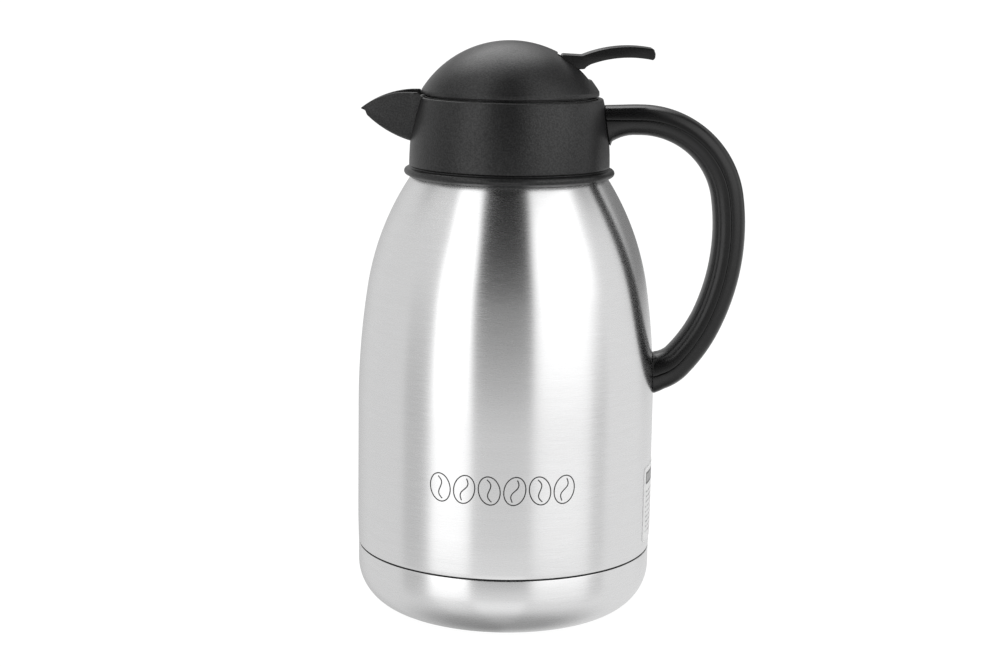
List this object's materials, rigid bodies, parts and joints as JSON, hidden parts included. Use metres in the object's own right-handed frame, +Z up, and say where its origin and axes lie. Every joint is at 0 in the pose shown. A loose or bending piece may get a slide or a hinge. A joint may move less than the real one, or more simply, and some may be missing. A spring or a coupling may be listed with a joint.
{
  "type": "vacuum carafe",
  "caption": "Double-wall steel vacuum carafe with beak spout, loop handle and a screw-in domed stopper whose thumb lever lifts a pouring valve.",
  "frame": {"origin": "centre of the foot, on the flask axis, in the plane the carafe stands on", "axes": "+Z up along the flask axis, +X towards the handle, -X towards the spout"},
  "size_m": [0.1934, 0.15, 0.288],
  "materials": {
    "body_steel": "brushed around the axis",
    "inner_steel": "bright drawn sheet",
    "fastener_steel": "bright",
    "getter_metal": "dull",
    "seal_solder": "dull glassy",
    "matte_black": "fine moulded grain",
    "satin_black": "satin",
    "pale_plastic": "smooth",
    "silicone": "translucent silicone",
    "label_paper": "plain printed film"
  },
  "bodies": {
    "flask": {"outer_shell": "body_steel", "inner_flask": "inner_steel", "outer_bottom": "inner_steel", "vacuum_seal": "seal_solder", "getter": "getter_metal", "base_cup": "body_steel", "neck_ring": "matte_black", "collar": "matte_black", "collar_seal": "silicone", "handle_grip": "satin_black", "handle_cover": "satin_black", "handle_bracket": "inner_steel", "handle_screws": "fastener_steel", "label": "label_paper"},
    "gasket": {"stopper_gasket": "silicone"},
    "lid": {"lid_dome": "matte_black", "stopper_body": "matte_black", "upper_seal": "silicone", "lever_pin": "fastener_steel", "rod_seal": "silicone", "valve_spring": "fastener_steel"},
    "lever": {"lever": "satin_black"},
    "valve": {"valve_rod": "fastener_steel", "valve_plug": "pale_plastic", "valve_seal": "silicone"}
  },
  "joints": [
    {"name": "lid_rise", "type": "slide", "parent": "flask", "child": "gasket", "axis": [0, 0, 1], "range_m": [0, 0.036]},
    {"name": "lid_turn", "type": "hinge", "parent": "gasket", "child": "lid", "pos_m": [0, 0, 0.25], "axis": [0, 0, 1], "range_deg": [0, 721]},
    {"name": "lever_press", "type": "hinge", "parent": "lid", "child": "lever", "pos_m": [0.028, 0, 0.2745], "axis": [0, 1, 0], "range_deg": [0, 16]},
    {"name": "valve_lift", "type": "slide", "parent": "lid", "child": "valve", "axis": [0, 0, 1], "range_m": [0, 0.0082], "deforming": ["valve_spring"]}
  ],
  "couplings": [
    {"joint": "lid_turn", "follows": "lid_rise", "rad_per_m": 349.07},
    {"joint": "valve_lift", "follows": "lever_press", "m_per_rad": 0.0289}
  ]
}
